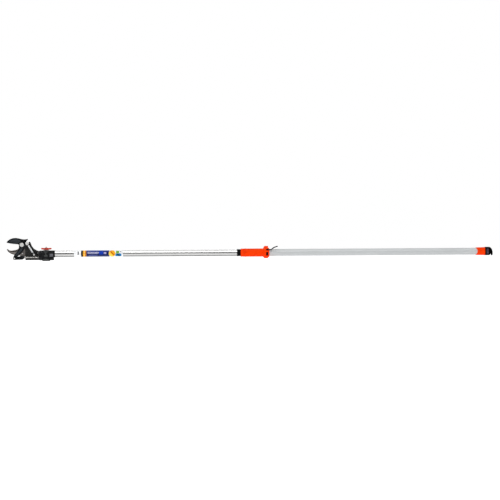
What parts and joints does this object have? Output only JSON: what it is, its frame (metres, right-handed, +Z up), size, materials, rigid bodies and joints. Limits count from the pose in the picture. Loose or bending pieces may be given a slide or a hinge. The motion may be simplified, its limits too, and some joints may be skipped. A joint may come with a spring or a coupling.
{
  "type": "telescoping pole pruner",
  "caption": "Telescoping pole pruner: bypass cutting head with return spring and link drive, accessory stud with wing nut, two-part tube pole, moulded grip with length lock, pull knob.",
  "frame": {"origin": "on the pole axis at the middle of the hand grip", "axes": "+X along the pole from the cutting head to the pull knob, +Z up on the blade pivot side, blade side of the head towards -Y"},
  "size_m": [2.2309, 0.0566, 0.1068],
  "materials": {
    "blade_coat": "black non-stick coating with ground bevels",
    "hook_steel": "warm grey ground steel",
    "zinc": "bright zinc plating",
    "frame_casting": "dark grey powder-coated casting",
    "rod_steel": "bright drawn steel",
    "spring_steel": "bright spring wire",
    "black_nylon": "black glass-filled nylon",
    "orange_plastic": "semi-gloss moulded orange plastic",
    "inner_aluminium": "mill finish",
    "brass_bush": "turned brass",
    "bright_aluminium": "bright drawn aluminium",
    "satin_aluminium": "satin grey anodised aluminium",
    "label_film": "printed film with plain colour fields",
    "wire_black": "black dipped steel wire",
    "black_cap": "black moulded plastic"
  },
  "bodies": {
    "lower_pole": {"lower_pole_tube": "satin_aluminium", "mouth_bush": "black_nylon", "grip_sleeve": "orange_plastic", "grip_rivets": "zinc", "lever_pins": "zinc", "shoe_spring": "spring_steel", "end_collar": "orange_plastic", "collar_pins": "zinc"},
    "upper_pole": {"upper_pole_tube": "bright_aluminium", "foot_bush": "black_nylon", "label_sleeve": "label_film", "housing_front": "black_nylon", "housing_rear": "black_nylon", "housing_screws": "zinc", "frame_bolts": "zinc", "head_frame": "frame_casting", "hook_blade": "hook_steel", "hook_rivets": "zinc", "pivot_bolt": "zinc", "pivot_nut": "zinc", "spring_anchor_pin": "zinc", "return_spring": "spring_steel", "accessory_stud": "zinc", "clamp_washer": "zinc", "rod_guide_bush": "brass_bush"},
    "cutting_blade": {"cutting_blade": "blade_coat", "blade_spring_pin": "zinc"},
    "drive_link": {"drive_link": "blade_coat", "link_pin": "zinc"},
    "pull_rod": {"pull_rod": "rod_steel", "rod_pin": "zinc", "drive_block": "black_nylon", "drive_rod": "inner_aluminium"},
    "spring_tip": {"spring_eyelet": "spring_steel"},
    "wing_nut": {"wing_nut": "orange_plastic", "wing_nut_insert": "zinc"},
    "pull_knob": {"pull_knob": "black_cap", "knob_pin": "zinc", "drive_tube": "inner_aluminium", "drive_clutch": "brass_bush"},
    "lock_lever": {"lock_lever": "wire_black"},
    "lock_shoe": {"lock_shoe": "black_nylon"}
  },
  "joints": [
    {"name": "pole_slide", "type": "slide", "parent": "lower_pole", "child": "upper_pole", "axis": [1, 0, 0], "range_m": [0, 0.78]},
    {"name": "blade_close", "type": "hinge", "parent": "upper_pole", "child": "cutting_blade", "pos_m": [-1.058, 0, 0.042], "axis": [0, -1, 0], "range_deg": [0, 40], "stiffness_Nm_per_rad": 1, "springref_deg": -20.05},
    {"name": "link_swing", "type": "hinge", "parent": "cutting_blade", "child": "drive_link", "pos_m": [-1.092, 0, -0.0206], "axis": [0, 1, 0], "range_deg": [0, 29.57]},
    {"name": "rod_pull", "type": "slide", "parent": "upper_pole", "child": "pull_rod", "axis": [1, 0, 0], "range_m": [0, 0.0469]},
    {"name": "spring_stretch", "type": "slide", "parent": "upper_pole", "child": "spring_tip", "axis": [-0.6021, 0, 0.7984], "range_m": [0, 0.01763], "deforming": ["return_spring"]},
    {"name": "knob_pull", "type": "slide", "parent": "lower_pole", "child": "pull_knob", "axis": [1, 0, 0], "range_m": [0, 0.0469]},
    {"name": "wing_nut_turn", "type": "hinge", "parent": "upper_pole", "child": "wing_nut", "pos_m": [-0.9455, 0, 0.022], "axis": [0, 0, 1], "continuous": true},
    {"name": "lever_squeeze", "type": "hinge", "parent": "lower_pole", "child": "lock_lever", "pos_m": [0.0685, 0, 0.0135], "axis": [0, 1, 0], "range_deg": [0, 8], "stiffness_Nm_per_rad": 0.6, "springref_deg": -14.32},
    {"name": "shoe_lift", "type": "slide", "parent": "lower_pole", "child": "lock_shoe", "axis": [0, 0, 1], "range_m": [0, 0.00141], "deforming": ["shoe_spring"]}
  ],
  "couplings": [
    {"joint": "link_swing", "follows": "blade_close", "ratio": 0.73799},
    {"joint": "rod_pull", "follows": "blade_close", "m_per_rad": 0.067033},
    {"joint": "spring_stretch", "follows": "blade_close", "m_per_rad": 0.025105},
    {"joint": "knob_pull", "follows": "blade_close", "m_per_rad": 0.067033},
    {"joint": "shoe_lift", "follows": "lever_squeeze", "m_per_rad": 0.00997}
  ]
}
